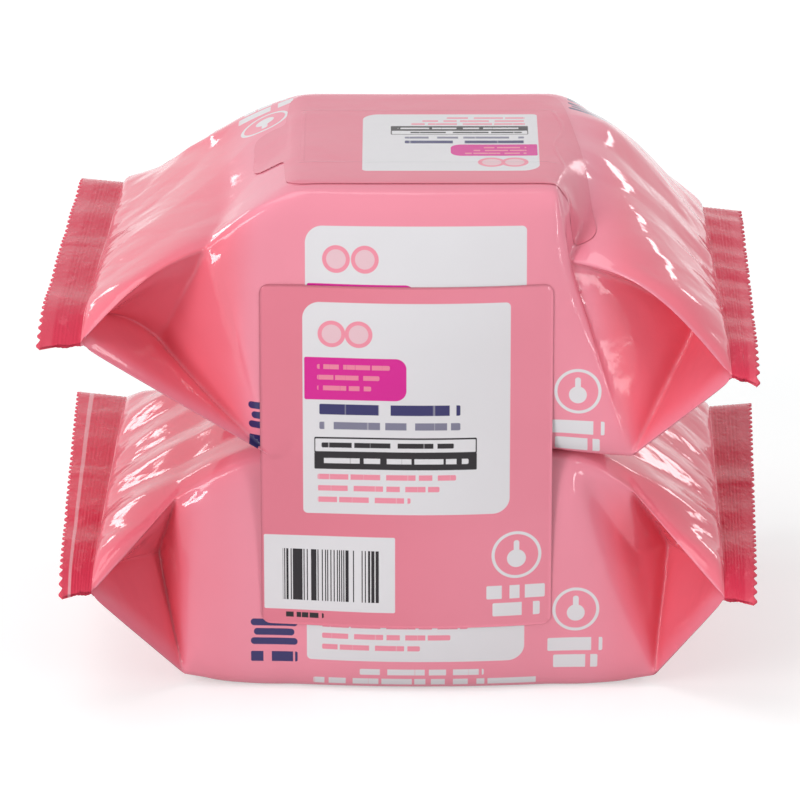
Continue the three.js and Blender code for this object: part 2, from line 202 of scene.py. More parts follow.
def crest_ring(end, height):
    """The ring of an end's folds, between the slope and the ear."""
    def spot(name, y_sign):
        reach, step, *out = end[name]
        z = height - step if name.startswith("crest") else step
        return end["side"] * (STACK_END + reach), y_sign * (SIDE_Y + sum(out)), z

    rails = np.array([
        spot("crest_front", -1), spot("crest_middle", 0), spot("crest_back", 1),
        spot("foot_back", 1), spot("foot_middle", 0), spot("foot_front", -1),
    ], dtype=float)
    return rails, shape_of(CREST_RADIUS)


def seal_ring(end, height, across):
    """A ring of the flat seal, at a share of the way across it from its inner line to its cut."""
    half = mix(SEAL_HALF, CUT_HALF, across)

    def spot(inner, cut, y, layer):
        reach, rise = np.array(end[inner]) * (1 - across) + np.array(end[cut]) * across
        return end["side"] * (STACK_END + reach), y, height / 2 + rise + layer * SEAL_THICKNESS / 2

    front_top = spot("seal_front", "cut_front", -half, 1)
    back_top = spot("seal_back", "cut_back", half, 1)
    back_foot = spot("seal_back", "cut_back", half, -1)
    front_foot = spot("seal_front", "cut_front", -half, -1)
    arch = np.array((0, 0, SEAL_ARCH))
    middle_top = (np.array(front_top) + back_top) / 2 + arch
    middle_foot = (np.array(front_foot) + back_foot) / 2 + arch
    rails = np.array([front_top, middle_top, back_top, back_foot, middle_foot, front_foot])
    tuck = (girth_of(height) / 2 - 2 * half) / 2
    return rails, shape_of(SEAL_THICKNESS / 3, power=ARCH_POWER, depth=(1 - across) * tuck)


def blend(first, second, t, height_share):
    """A ring between two others, which may be further on in height than in the rest."""
    rails = mix(first[0], second[0], t)
    rails[:, 2] = mix(first[0][:, 2], second[0][:, 2], height_share)
    return rails, mix(first[1], second[1], t)


def end_rings(end, height):
    """Rings of one end, from the shoulder out to the inner line of the seal."""
    start, early, lean, depth, deep = end["fold"]
    lean *= end["side"]
    shoulder = box_ring(end["side"] * (STACK_END + end["shoulder"]), height)
    crest = crest_ring(end, height)
    seal = seal_ring(end, height, 0)
    rings = []
    for t in np.linspace(0, 1, FALL_RINGS):
        rails, (radius, bow, *_) = blend(shoulder, crest, t, t ** FALL_POWER)
        grown = max(0.0, t - start) / (1 - start)
        rings.append((rails, shape_of(radius, bow, CROWN_POWER, depth * early * grown, grown, 0.0, deep)))
    for t in np.linspace(0, 1, FOLD_RINGS)[1:]:
        folded = mix(early, 1, t)
        shape = shape_of(CREST_RADIUS, 0.0, CROWN_POWER, depth * folded, 1.0, lean * t, deep)
        rings.append((crest[0], shape))
    for t in np.linspace(0, 1, EAR_RINGS)[1:]:
        rails, (_, bow, power, *_) = blend(crest, seal, t, t)
        swell = math.sin(math.pi * t)
        rails[0, 2] += end["ridge_lift"] * swell
        rails[1, 2] += EAR_PUFF * swell
        rails[4, 2] -= EAR_PUFF * swell
        radius = mix(CREST_RADIUS, SEAL_THICKNESS / 3, math.sqrt(t))
        inward = mix(depth, seal[1][3], t) + TUCK_SWELL * swell
        rings.append((rails, shape_of(radius, bow, power, inward, 1.0, lean * (1 - t), mix(deep, 0.5, t))))
    return rings


def crown_at(ends, middle, power, share):
    """How far the film stands off the straight line from edge to edge, at a share of the way across."""
    rise = middle - (ends[0] + ends[1]) / 2
    rise[1] = 0
    return rise * (1 - np.abs(2 * share - 1) ** power)


def crown_run(start, middle, finish, trim, power):
    s = np.linspace(trim, 1 - trim, CROWN_STEPS)[:, None]
    return mix(start, finish, s) + crown_at((start, finish), middle, power, s)


MOST_TRIM = 0.3


def wall_run(rails, shape, outward):
    """A wall from its top edge to its foot: bulged over the wipes, folded in beyond them."""
    front_top, middle_top, back_top, back_foot, middle_foot, front_foot = rails
    radius, bow, power, depth, extent, lean, deep = shape
    top, foot = (back_top, back_foot) if outward > 0 else (front_top, front_foot)
    top_span = np.linalg.norm(back_top - front_top)
    foot_span = np.linalg.norm(back_foot - front_foot)
    trim = min(radius / np.linalg.norm(top - foot), MOST_TRIM)
    waist = mix(0.5, extent * deep, extent)
    above = np.linspace(trim, waist, WALL_STEPS)
    below = np.linspace(waist, 1 - trim, WALL_STEPS)[1:]
    s = np.concatenate([above, below])[:, None]
    down = np.clip(s / max(extent, 0.01), 0, 1)
    fold = 1 - np.abs(np.where(down < deep, down / deep, 1 + (down - deep) / (1 - deep)) - 1) ** TUCK_POWER
    inward = depth * fold
    over = crown_at((front_top, back_top), middle_top, power, inward / top_span)
    under = crown_at((front_foot, back_foot), middle_foot, power, inward / foot_span)
    run = mix(top, foot, s) + mix(over, under, s)
    run[:, :1] += fold * (lean if outward < 0 else np.clip(lean, -BACK_LEAN, BACK_LEAN))
    run[:, 1:2] += outward * (bow * 4 * s * (1 - s) - inward)
    return run


def corner_run(before, corner, after):
    """A rounded corner as a curve that leaves and meets its neighbours evenly."""
    t = np.linspace(0, 1, CORNER_STEPS + 2)[1:-1, None]
    return mix(mix(before, corner, t), mix(corner, after, t), t)


def along(line, count):
    """count + 1 points at even steps of length along a line; what follows x, y and z goes with them."""
    steps = np.linalg.norm(np.diff(line[:, :3], axis=0), axis=1)
    places = np.concatenate([[0], np.cumsum(steps)])
    wanted = np.linspace(0, places[-1], count + 1)
    return np.stack([np.interp(wanted, places, line[:, k]) for k in range(line.shape[1])], axis=1)


def round_of(ring):
    """The points once round a ring, from the middle of the front wall over the top and back below."""
    rails, shape = ring
    front_top, middle_top, back_top, back_foot, middle_foot, front_foot = rails
    radius, _, power, *_ = shape

    def trim(a, b):
        return min(radius / np.linalg.norm(b - a), MOST_TRIM)

    top = crown_run(front_top, middle_top, back_top, trim(front_top, back_top), power)
    below = crown_run(back_foot, middle_foot, front_foot, trim(back_foot, front_foot), power)
    back = wall_run(rails, shape, 1)
    front = wall_run(rails, shape, -1)[::-1]
    corners = [
        corner_run(front[-1], front_top, top[0]), corner_run(top[-1], back_top, back[0]),
        corner_run(back[-1], back_foot, below[0]), corner_run(below[-1], front_foot, front[0]),
    ]
    waist = WALL_STEPS - 1
    bend = CORNER_STEPS // 2
    into = [corner[:bend + 1] for corner in corners]
    out = [corner[bend:] for corner in corners]
    runs = [
        (front[waist:], into[0], HALF_WALL_CELLS), (out[0], top, into[1], FACE_CELLS),
        (out[1], back[:waist + 1], HALF_WALL_CELLS), (back[waist:], into[2], HALF_WALL_CELLS),
        (out[2], below, into[3], FACE_CELLS), (out[3], front[:waist + 1], HALF_WALL_CELLS),
    ]
    points = np.concatenate([along(np.concatenate(parts), cells)[:-1] for *parts, cells in runs])
    edges = np.stack([front_top, back_top, back_foot, front_foot])
    off_edge = np.linalg.norm(points[:, None] - edges[None], axis=2).min(axis=1)
    firm = np.clip(4 * (EDGE_RADIUS - radius) / (EDGE_RADIUS - CREST_RADIUS) - 3, 0, 1)
    fold = firm * np.exp(-(np.maximum(off_edge - radius * 0.5, 0) / FOLD_REACH) ** 2)
    return np.concatenate([points, fold[:, None]], axis=1)


def drawn_film(left, right, height):
    """The film between the two seals as an even grid: rows along the pouch, points round it.

    Each point is x, y, z and how firmly it belongs to a folded edge.
    """
    first = STACK_END + left["shoulder"]
    last = STACK_END + right["shoulder"]
    middle = [box_ring(x, height) for x in np.linspace(-first, last, MIDDLE_RINGS)[1:-1]]
    rings = end_rings(left, height)[::-1] + middle + end_rings(right, height)
    grid = np.stack([round_of(ring) for ring in rings])
    lengths = np.linalg.norm(np.diff(grid[..., :3], axis=0), axis=2).sum(axis=0)
    coarsest = SETTLE_LEVELS[0]
    rows = int(round(lengths.mean() / FILM_CELL / coarsest)) * coarsest
    even = np.stack([along(grid[:, k], rows) for k in range(grid.shape[1])], axis=1)
    return even[..., :3], even[..., 3:]


# Settling the film: cells that keep their size, hardly any stiffness against bending, soft sharp folds

def size_of(vectors):
    return np.sqrt(np.einsum("...k,...k->...", vectors, vectors))[..., None]


def hold(a, b, rest, pull, push):
    """Brings two sets of points to their distance apart; push is how much squeezing is resisted."""
    gap = b - a
    share = 1 - rest / np.maximum(size_of(gap), 1e-6)
    share *= np.where(share > 0, pull, push) / 2
    gap *= share
    a += gap
    b -= gap


def row_pairs(points, start):
    """Every second row from the start, and the row after each of them."""
    a = points[start:-1:2]
    b = points[start + 1::2]
    return a[:len(b)], b[:len(a)]


def hold_along(points, rest, pull, push):
    for start in (0, 1):
        a, b = row_pairs(points, start)
        hold(a, b, rest[start::2][:len(a)], pull, push)


def hold_round(points, rest, pull, push):
    hold(points[:, 0::2], points[:, 1::2], rest[:, 0::2], pull, push)
    turned = np.roll(points, -1, axis=1)
    hold(turned[:, 0::2], turned[:, 1::2], rest[:, 1::2], pull, push)
    points[:] = np.roll(turned, 1, axis=1)


def hold_square(points, rests, pull, push):
    for shift, rest in zip((-1, 1), rests):
        for start in (0, 1):
            a, b = row_pairs(points, start)
            turned = np.roll(b, shift, axis=1)
            hold(a, turned, rest[start::2][:len(a)], pull, push)
            b[:] = np.roll(turned, -shift, axis=1)


def off_neighbours(field):
    """How far the four neighbours of each point lie from it, all added up."""
    off = np.zeros_like(field)
    off[1:-1] = field[2:] + field[:-2] - 2 * field[1:-1]
    off += np.roll(field, 1, axis=1) + np.roll(field, -1, axis=1) - 2 * field
    return off


def bending(points, limit):
    """How hard each point is drawn towards flat; a fold sharper than the limit resists no more."""
    curve = off_neighbours(points)
    curve *= 1 / (1 + size_of(curve) / limit)
    return off_neighbours(curve)


def outward(points):
    """The film's normal at each point of its grid."""
    along_rows = np.gradient(points, axis=0)
    round_pouch = np.roll(points, -1, axis=1) - np.roll(points, 1, axis=1)
    normal = np.cross(along_rows, round_pouch)
    return normal / np.maximum(np.linalg.norm(normal, axis=2, keepdims=True), 1e-9)


def soft_noise(rng, shape, reach):
    """Seeded unevenness, smoothed over a number of cells along the pouch and round it."""
    field = rng.standard_normal(shape)
    rows, columns = shape
    row_waves = np.fft.fftfreq(rows * 2)[:, None]
    column_waves = np.fft.rfftfreq(columns)[None, :]
    mirrored = np.concatenate([field, field[::-1]])
    keep = np.exp(-2 * np.pi ** 2 * ((row_waves * reach[0]) ** 2 + (column_waves * reach[1]) ** 2))
    smooth = np.fft.irfft2(np.fft.rfft2(mirrored) * keep, s=mirrored.shape)[:rows]
    return smooth / smooth.std()


def crumple(rng, places, strength):
    """Uneven flat facets with sharp creases between them, most of them running out from the seal."""
    x, y = places[..., 0], places[..., 1]
    height = np.zeros(x.shape)
    for _ in range(CRUMPLE_FOLDS):
        turn = rng.normal(0, 0.8)
        length = rng.uniform(22, 60)
        bend = rng.uniform(-0.014, 0.014)
        across = y * math.cos(turn) + np.abs(x) * math.sin(turn) + bend * y * x
        wave = across / length + rng.uniform()
        height += (np.abs(wave % 1 * 2 - 1) - 0.5) * length / 40
    return height / height.std() * strength


def refine(points):
    """Twice as many cells each way."""
    rows = np.empty((points.shape[0] * 2 - 1,) + points.shape[1:], dtype=points.dtype)
    rows[::2] = points
    rows[1::2] = (points[1:] + points[:-1]) / 2
    finer = np.empty((rows.shape[0], rows.shape[1] * 2, 3), dtype=points.dtype)
    finer[:, ::2] = rows
    finer[:, 1::2] = (rows + np.roll(rows, -1, axis=1)) / 2
    return finer


def keep_clear(points, height, above):
    """Keeps the film off the rounded block of wipes, and off what lies under and over the pouch."""
    x, z = points[..., 0], points[..., 2]
    share = np.clip(z / height, 0, 1)
    fullness = np.clip(1 - (x / (STACK_END + BOW_REACH)) ** 2, 0, 1)
    side = SIDE_Y + FOOT_BOW * fullness * (1 - share)
    side = side + WALL_BOW * fullness * 4 * share * (1 - share) - SIDE_EASE
    half = np.stack([np.full_like(x, STACK_END), side, np.full_like(x, height / 2 - FILM_GAP)], axis=-1)
    middle = np.array((0, 0, height / 2), dtype=points.dtype)
    centred = points - middle
    over = np.abs(centred) - half + WIPES_ROUNDING
    outer = np.maximum(over, 0)
    reach = np.linalg.norm(outer, axis=-1)
    corner = (reach > 0) & (reach < WIPES_ROUNDING) & (over < WIPES_ROUNDING).all(axis=-1)
    grown = outer * (WIPES_ROUNDING / np.maximum(reach, 1e-6))[..., None]
    moved = np.sign(centred) * np.where(outer > 0, half - WIPES_ROUNDING + grown, np.abs(centred))
    points[corner] = (moved + middle)[corner]
    np.clip(z, 0.0, height + above, out=z)


def rows_from_seal(rows):
    """How many rows each row of loose film lies from the nearer seal."""
    return np.minimum(np.arange(rows), np.arange(rows)[::-1])[:, None]


def spare_film(drawn, height):
    """The share of film that each place has to spare: much beside the seals, hardly any on the wipes."""
    x, y, z = drawn[..., 0], drawn[..., 1], drawn[..., 2]
    rows = drawn.shape[0]
    from_seal = rows_from_seal(rows) * FILM_CELL
    beside_seal = np.exp(-from_seal / SPARE_REACH)
    off_wipes = np.clip((np.abs(x) - STACK_END + 8) / 20, 0, 1)
    flat = np.clip((np.abs(z - height / 2) / (height / 2) - 0.1) / 0.3, 0, 1)
    upper = (z > height / 2) | (from_seal < 6)
    layer = np.where(upper, 1.0, 0.5) * mix(0.25, 1.0, flat)
    layer = layer * np.where(np.abs(y[rows // 2]) > SIDE_Y - 2, 0.15, 1.0)
    beside_edge = np.clip((np.abs(y).max(axis=1, keepdims=True) - np.abs(y)) / 8, 0.15, 1)
    round_spare = LEAST_SPARE + (SEAL_SPARE * beside_seal * beside_edge + ROUND_SPARE * off_wipes) * layer
    along_spare = LEAST_SPARE + ALONG_SPARE * off_wipes * layer
    return round_spare, along_spare


def rest_lengths(target, round_spare, along_spare):
    """The lengths that hold the film's cells: along the pouch, round it and over both slants."""
    round_more, along_more = 1 + round_spare[..., None], 1 + along_spare[..., None]
    slant_more = 1 + (round_spare + along_spare)[:-1, :, None] / 2
    next_round = np.roll(target, -1, axis=1)
    last_round = np.roll(target, 1, axis=1)
    return (
        size_of(target[1:] - target[:-1]) * along_more[:-1],
        size_of(next_round - target) * round_more,
        size_of(next_round[1:] - target[:-1]) * slant_more,
        size_of(last_round[1:] - target[:-1]) * slant_more,
    )


def looseness(places):
    """1 where the film of an end stands free beside the seal, 0 on the wipes and at the pinned rows."""
    rows = len(places)
    x, y = np.abs(places[..., 0]), np.abs(places[..., 1])
    from_seal = rows_from_seal(rows) * FILM_CELL
    off_wipes = np.clip((x - STACK_END + 10) / 22, 0, 1)
    beside_ridge = np.clip((y.max(axis=1, keepdims=True) - y) / 9, 0.1, 1)
    wall = np.where(y[rows // 2] > SIDE_Y - 2, 0.3, 1.0)
    return off_wipes * beside_ridge * wall * np.clip(from_seal / 5, 0, 1)


def settled_film(left, right, height, seed, ceiling, left_waves, right_waves):
    """The drawn film let loose a little and relaxed, coarse cells first, with facets on its free parts."""
    drawn, folds = (part.astype(np.float32) for part in drawn_film(left, right, height))
    drawn[0, :, 2] += waves_at(left_waves, drawn[0, :, 1])
    drawn[-1, :, 2] += waves_at(right_waves, drawn[-1, :, 1])
    rng = np.random.default_rng(seed)
    spares = [spare.astype(np.float32) for spare in spare_film(drawn, height)]
    film = drawn[::SETTLE_LEVELS[0], ::SETTLE_LEVELS[0]].copy()
    for level in SETTLE_LEVELS:
        target = drawn[::level, ::level]
        if level != SETTLE_LEVELS[0]:
            film = refine(film)
        rows, columns = film.shape[:2]
        round_spare, along_spare = (spare[::level, ::level] for spare in spares)
        along_rows, round_pouch, forward, backward = rest_lengths(target, round_spare, along_spare)
        loose = np.clip((np.abs(target[..., 0]) - STACK_END + 6) / 25, 0, 1)[..., None]
        rough = soft_noise(rng, (rows, columns), (8, 3)) * (round_spare * 18)
        rough = rough + crumple(rng, target, 1.0) * (round_spare * 24)
        film += outward(film) * (rough[..., None] * loose * 0.25 * level).astype(np.float32)
        pinned = (target[0].copy(), target[-1].copy())
        pull_back = PULL_BACK[level] + FOLD_HOLD * folds[::level, ::level]
        for _ in range(SETTLE_STEPS):
            hold_along(film, along_rows, 0.9, 0.6)
            hold_round(film, round_pouch, 0.9, 0.6)
            hold_square(film, (forward, backward), 0.3, 0.2)
            film -= bending(film, CREASE_LIMIT * level) * STIFFNESS
            film += outward(film) * (PRESSURE * level * loose)
            film += (target - film) * pull_back
            film[0], film[-1] = pinned
            keep_clear(film, height, ceiling)
    free = looseness(drawn)
    film += outward(film) * (crumple(rng, drawn, FACET_DEPTH) * free)[..., None].astype(np.float32)
    keep_clear(film, height, ceiling)
    return film, drawn


# The crimped end seals, drawn outward from the inner line where the loose film ends

def seal_waves(rng):
    """A few gentle waves along a seal: height in mm, length in mm and start."""
    heights = rng.uniform(0.05, 0.3, 6)
    lengths = rng.uniform(16, 90, 6)
    starts = rng.uniform(0, 2 * math.pi, 6)
    return heights, lengths, starts


def waves_at(waves, y):
    """The height of the waves at each y."""
    heights, lengths, starts = waves
    return (heights * np.sin(2 * math.pi * y[..., None] / lengths + starts)).sum(axis=-1)


def crimp(across):
    """The height of the pressed ribs, which stop short of the cut."""
    along_band = across / CRIMPED_SHARE
    swing = np.sin(along_band * CRIMP_COUNT * 2 * math.pi)
    return np.where(along_band < 1, CRIMP_HEIGHT / 2 * swing, 0.0)


def seal_grid(end, height, waves):
    """Rows of film points from the seal's inner line to its zigzag cut."""
    shares = np.linspace(0, 1, SEAL_ROWS + 1)
    rows = np.stack([round_of(seal_ring(end, height, share))[:, :3] for share in shares])
    rows[..., 2] += crimp(shares)[:, None]
    seam = np.clip((SEAM_HALF - np.abs(rows[..., 1] - SEAM_MIDDLE)) / SEAM_EDGE, 0, 1)
    rows[..., 2] += SEAM_STEP * seam * shares[:, None] ** 0.5
    tooth = np.zeros(rows.shape[1])
    face = np.array(TOOTH)[np.arange(FACE_CELLS + 1) % len(TOOTH)]
    tooth[HALF_WALL_CELLS:HALF_WALL_CELLS + FACE_CELLS + 1] = face
    tooth[-HALF_WALL_CELLS - FACE_CELLS:-HALF_WALL_CELLS + 1] = face[::-1]
    rows[-1, :, 0] += end["side"] * (tooth - 0.5) * TOOTH_DEPTH
    rows[-2, :, 0] += end["side"] * (tooth - 0.5) * TOOTH_DEPTH * 0.4
    rows[..., 2] += waves_at(waves, rows[..., 1])
    return rows


def whole_pouch(left, right, height, seed, ceiling):
    """All the film of one pouch, seal to seal, with the drawn place of each point."""
    rng = np.random.default_rng(seed)
    left_waves, right_waves = seal_waves(rng), seal_waves(rng)
    film, drawn = settled_film(left, right, height, seed, ceiling, left_waves, right_waves)
    left_seal = seal_grid(left, height, left_waves)[::-1]
    right_seal = seal_grid(right, height, right_waves)
    points = np.concatenate([left_seal[:-1], film, right_seal[1:]])
    places = np.concatenate([left_seal[:-1], drawn, right_seal[1:]])
    band = np.concatenate([np.linspace(1, 0, SEAL_ROWS + 1)[:-1], np.zeros(len(film)),
                           np.linspace(0, 1, SEAL_ROWS + 1)[1:]])
    return points, places, band


def hollow(places):
    """1 deep in the folded sides of an end, where no wipes back the film, and 0 on the wipes; the film's
    colour deepens by it, partly as film with no white wipes behind it and partly as painted shade of the
    folds.
    """
    x, y = np.abs(places[..., 0]), np.abs(places[..., 1])
    off_end = np.clip((x - STACK_END - 1) / 16, 0, 1)
    inward = np.clip((y.max(axis=1, keepdims=True) - y) / 8, 0, 1)
    wall = y[len(y) // 2] > SIDE_Y - 2
    return off_end * np.where(wall, mix(0.35, 1.0, inward), 0.7)


# Meshes

def make_mesh(name, points, faces, attributes, flat_rest=False):
    """A piece from groups of faces; all but the first group are flat shaded where that is asked for."""
    mesh = bpy.data.meshes.new(name)
    count = sum(len(group) for group in faces)
    corners = np.concatenate([group.ravel() for group in faces]).astype(np.int32)
    sizes = np.concatenate([np.full(len(group), group.shape[1]) for group in faces])
    starts = np.concatenate([[0], np.cumsum(sizes)[:-1]]).astype(np.int32)
    mesh.vertices.add(len(points))
    mesh.vertices.foreach_set("co", (points * MM).astype(np.float32).ravel())
    mesh.loops.add(len(corners))
    mesh.loops.foreach_set("vertex_index", corners)
    mesh.polygons.add(count)
    mesh.polygons.foreach_set("loop_start", starts)
    mesh.update(calc_edges=True)
    smooth = np.arange(count) < len(faces[0]) if flat_rest else np.ones(count, dtype=bool)
    mesh.polygons.foreach_set("use_smooth", smooth)
    for key, values in attributes.items():
        vector = values.ndim == 2
        layer = mesh.attributes.new(key, "FLOAT_VECTOR" if vector else "FLOAT", "POINT")
        layer.data.foreach_set("vector" if vector else "value", values.astype(np.float32).ravel())
    piece = bpy.data.objects.new(name, mesh)
    bpy.context.scene.collection.objects.link(piece)
    return piece


def grid_quads(index):
    """The quads between the neighbours of a grid of point numbers."""
    corners = [index[:-1, :-1], index[1:, :-1], index[1:, 1:], index[:-1, 1:]]
    return np.stack(corners, axis=-1).reshape(-1, 4)


def tube_faces(rows, columns):
    """Outward quads of a tube of rows, and the faces that close the film's edge at both cuts."""
    index = np.arange(rows * columns).reshape(rows, columns)
    around = np.concatenate([index, index[:, :1]], axis=1)
    over = np.arange(0, columns // 2)
    groups = [grid_quads(around)]
    for row, step in ((index[0], 1), (index[-1], -1)):
        corners = [row[over], row[over + 1], row[-over - 1], row[-over]]
        cap = np.stack(corners, axis=-1)
        groups += [cap[1:-1, ::step], cap[:1, [0, 1, 2]][:, ::step], cap[-1:, [0, 1, 3]][:, ::step]]
    return groups


FILM_FINISH, SEAL_FINISH = 0, 1
CRINKLED_ROWS = 16


def pouch_piece(name, left, right, height, base, seed, ceiling, node):
    points, places, band = whole_pouch(left, right, height, seed, ceiling)
    rows, columns = points.shape[:2]
    loose = slice(SEAL_ROWS, -SEAL_ROWS)
    from_seal = rows_from_seal(rows - 2 * SEAL_ROWS)
    crinkled = np.zeros((rows, columns))
    crinkled[loose] = looseness(places[loose]) * np.exp(-from_seal / CRINKLED_ROWS)
    attributes = {
        "place": places.reshape(-1, 3),
        "crinkled": crinkled.ravel(),
        "hollow": hollow(places).ravel(),
        "band": np.repeat(band, columns),
    }
    shifted = points + (0, 0, base)
    piece = make_mesh(name, shifted.reshape(-1, 3), tube_faces(rows, columns), attributes, flat_rest=True)
    piece.data.materials.append(None)
    piece.data.materials.append(None)
    finish = np.full(len(piece.data.polygons), SEAL_FINISH, dtype=np.int32)
    finish[SEAL_ROWS * columns:(rows - 1 - SEAL_ROWS) * columns] = FILM_FINISH
    piece.data.polygons.foreach_set("material_index", finish)
    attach(piece, "root")
    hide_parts(node)
    return piece


# Labels

def surface_of(*pieces):
    """The skins of some pieces as one tree to cast rays at, in metres."""
    points, faces = [], []
    for piece in pieces:
        start = len(points)
        points += [vertex.co.copy() for vertex in piece.data.vertices]
        faces += [[start + k for k in face.vertices] for face in piece.data.polygons]
    return BVHTree.FromPolygons(points, faces)


def reach(tree, start, direction):
    hit, _, _, _ = tree.ray_cast(Vector(start) * MM, Vector(direction))
    return np.array(hit) / MM if hit else None


def label_piece(name, grid, offset, places, node):
    """A thin closed sheet over a grid of points; offset is the step out from the film."""
    rows, columns = grid.shape[:2]
    outer = grid + offset * (LABEL_GAP + LABEL_THICKNESS)
    inner = grid + offset * LABEL_GAP
    index = np.arange(rows * columns).reshape(rows, columns)
    quads = grid_quads(index)
    rim = np.concatenate([index[0, :-1], index[:-1, -1], index[-1, :0:-1], index[:0:-1, 0]])
    after = np.roll(rim, -1)
    count = rows * columns
    side = np.stack([rim, after, after + count, rim + count], axis=-1)
    points = np.concatenate([outer.reshape(-1, 3), inner.reshape(-1, 3)])
    spots = np.concatenate([places.reshape(-1, 3)] * 2)
    piece = make_mesh(name, points, [quads, quads[:, ::-1] + count, side[:, ::-1]], {"place": spots})
    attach(piece, "root")
    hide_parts(node)
    return piece


def rounded_outline(corners, steps=8):
    """A closed outline through corners given as x, y and rounding."""
    outline = []
    spots = [np.array(corner[:2]) for corner in corners]
    for k, corner in enumerate(corners):
        before = spots[k - 1] - spots[k]
        after = spots[(k + 1) % len(spots)] - spots[k]
        first = spots[k] + before / np.linalg.norm(before) * corner[2]
        last = spots[k] + after / np.linalg.norm(after) * corner[2]
        for t in np.linspace(0, 1, steps):
            outline.append(mix(mix(first, spots[k], t), mix(spots[k], last, t), t))
    return np.array(outline)


def width_at(outline, x):
    """The lowest and highest y of an outline at one x."""
    after = np.roll(outline, -1, axis=0)
    crossing = (outline[:, 0] - x) * (after[:, 0] - x) <= 0
    a, b = outline[crossing], after[crossing]
    step = b[:, 0] - a[:, 0]
    t = np.where(np.abs(step) > 1e-9, (x - a[:, 0]) / np.where(np.abs(step) > 1e-9, step, 1), 0)
    y = a[:, 1] + t * (b[:, 1] - a[:, 1])
    return y.min(), y.max()


def reseal_label(name, film, base, node):
    """A peelable label laid on the top of a pouch, with finer columns at its two ends."""
    tree = surface_of(film)
    outline = rounded_outline(RESEAL_CORNERS)
    lowest, highest = outline[:, 0].min(), outline[:, 0].max()
    lines = np.concatenate([
        lowest + (TAB_ROOT_LEFT - lowest) * np.sin(np.linspace(0.02, math.pi / 2, TAB_COLUMNS))[:-1] ** 2,
        np.linspace(TAB_ROOT_LEFT, TAB_ROOT_RIGHT, ROOT_COLUMNS)[:-1],
        mix(TAB_ROOT_RIGHT, highest, np.sin(np.linspace(0, math.pi / 2 - 0.02, RESEAL_COLUMNS))),
    ])
    across = (1 - np.cos(np.linspace(0, math.pi, RESEAL_ROWS))) / 2
    grid = np.zeros((len(lines), RESEAL_ROWS, 3))
    for i, x in enumerate(lines):
        low, high = width_at(outline, x)
        for j, t in enumerate(across):
            grid[i, j] = reach(tree, (x, mix(low, high, t), base + RAY_ABOVE), (0, 0, -1))
    up = np.array((0, 0, 1.0))
    return label_piece(name, grid, up, grid - (0, 0, base), node)


def taut(places, depths):
    """Pulls a row of depths tight, so that it only touches its farthest forward points."""
    hull = []
    for k in range(len(places)):
        while len(hull) > 1 and ((depths[hull[-1]] - depths[hull[-2]]) * (places[k] - places[hull[-1]])
                                 <= (depths[k] - depths[hull[-1]]) * (places[hull[-1]] - places[hull[-2]])):
            hull.pop()
        hull.append(k)
    return np.interp(places, places[hull], depths[hull])


def rounded_grid(x_line, z_line):
    """An upright grid whose four corners are drawn in to round ones."""
    x_grid, z_grid = np.meshgrid(x_line, z_line, indexing="ij")
    off_x = x_grid - x_line.mean()
    off_z = z_grid - z_line.mean()
    corner_x = np.maximum(np.abs(off_x) - (BUNDLE_RIGHT - BUNDLE_LEFT) / 2 + BUNDLE_CORNER, 0)
    corner_z = np.maximum(np.abs(off_z) - (BUNDLE_TOP - BUNDLE_BOTTOM) / 2 + BUNDLE_CORNER, 0)
    out = np.hypot(corner_x, corner_z)
    inset = np.where(out > BUNDLE_CORNER, 1 - BUNDLE_CORNER / np.maximum(out, 1e-6), 0)
    return x_grid - np.sign(off_x) * corner_x * inset, z_grid - np.sign(off_z) * corner_z * inset


def bundle_label(name, films, node):
    """The front label: taut over both pouches, and drawn in a little where it bridges them."""
    tree = surface_of(*films)
    x_line = np.linspace(BUNDLE_LEFT, BUNDLE_RIGHT, BUNDLE_COLUMNS)
    z_line = np.linspace(BUNDLE_BOTTOM, BUNDLE_TOP, BUNDLE_ROWS)
    depth = np.zeros((BUNDLE_COLUMNS, BUNDLE_ROWS))
    for i, x in enumerate(x_line):
        for j, z in enumerate(z_line):
            hit = reach(tree, (x, -RAY_BEFORE, z), (0, 1, 0))
            depth[i, j] = -hit[1] if hit is not None else 0.0
    upright = np.stack([taut(z_line, column) for column in depth])
    level = np.stack([taut(x_line, row) for row in upright.T]).T
    slack = mix(level, np.maximum(depth, level - BUNDLE_SLACK), LABEL_CLING)
    x_grid, z_grid = rounded_grid(x_line, z_line)
    grid = np.stack([x_grid, -slack, z_grid], axis=-1)
    forward = np.array((0, -1.0, 0))
    return label_piece(name, grid, forward, grid, node)


# Materials

class Value:
    """A number in a material's nodes, so that shader maths reads as a plain expression."""

    def __init__(self, paint, socket):
        self.paint = paint
        self.socket = socket

    def maths(self, operation, *others):
        inputs = {0: self, **dict(enumerate(others, 1))}
        return self.paint.node("ShaderNodeMath", {"operation": operation}, inputs)

    def __add__(self, other):
        return self.maths("ADD", other)

    __radd__ = __add__

    def __mul__(self, other):
        return self.maths("MULTIPLY", other)

    __rmul__ = __mul__

    def __sub__(self, other):
        return self.maths("SUBTRACT", other)

    def __rsub__(self, other):
        return self * -1 + other

    def vector(self, operation, *others, output=0):
        inputs = {0: self, **dict(enumerate(others, 1))}
        return self.paint.node("ShaderNodeVectorMath", {"operation": operation}, inputs, output)

    def largest(self, other):
        return self.maths("MAXIMUM", other)

    def smallest(self, other):
        return self.maths("MINIMUM", other)

    def size(self):
        return self.maths("ABSOLUTE")

    def rise(self, low, high):
        """0 below low, 1 above high, eased between."""
        return self.paint.node("ShaderNodeMapRange", {"interpolation_type": "SMOOTHSTEP"},
                               {"Value": self, "From Min": low, "From Max": high})


